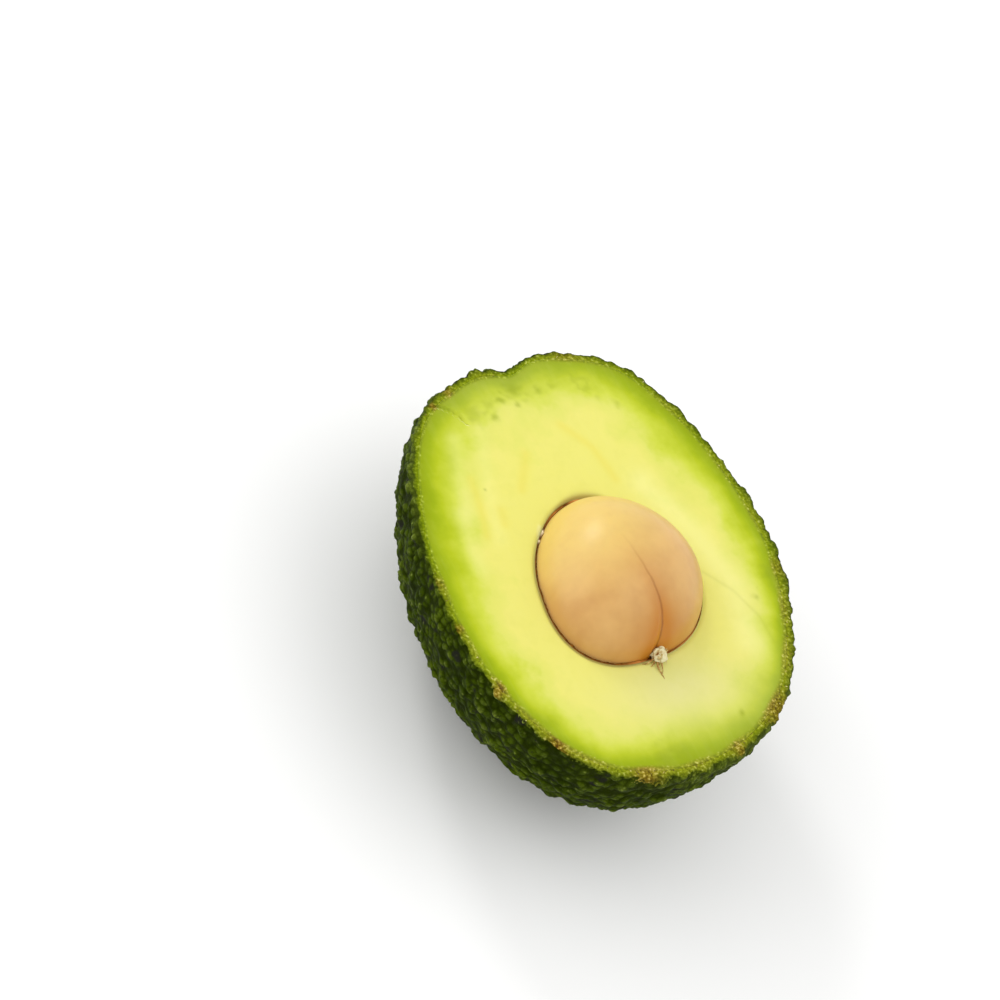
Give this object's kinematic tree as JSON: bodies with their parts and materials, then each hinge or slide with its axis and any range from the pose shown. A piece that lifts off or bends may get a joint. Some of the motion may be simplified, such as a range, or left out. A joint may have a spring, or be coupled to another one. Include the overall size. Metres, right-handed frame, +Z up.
{
  "type": "avocado half",
  "caption": "Half avocado with its seed, cut lengthways, lying on its pebbled skin with the cut face up.",
  "frame": {"origin": "in the small flat spot that the half lies on, below the middle of the cut face", "axes": "+Z up and square to the cut face, +Y along the fruit towards its stem end, +X across it"},
  "size_m": [0.0746, 0.0926, 0.0463],
  "materials": {
    "skin": "pebbled, semi-gloss",
    "flesh": "buttery, satin",
    "seed_coat": "dry, papery",
    "seed": "smooth, satin",
    "seed_button": "frayed, matte"
  },
  "bodies": {
    "root": {"skin": "skin", "flesh": "flesh", "seed_coat": "seed_coat", "seed": "seed", "seed_button": "seed_button"}
  },
  "joints": []
}
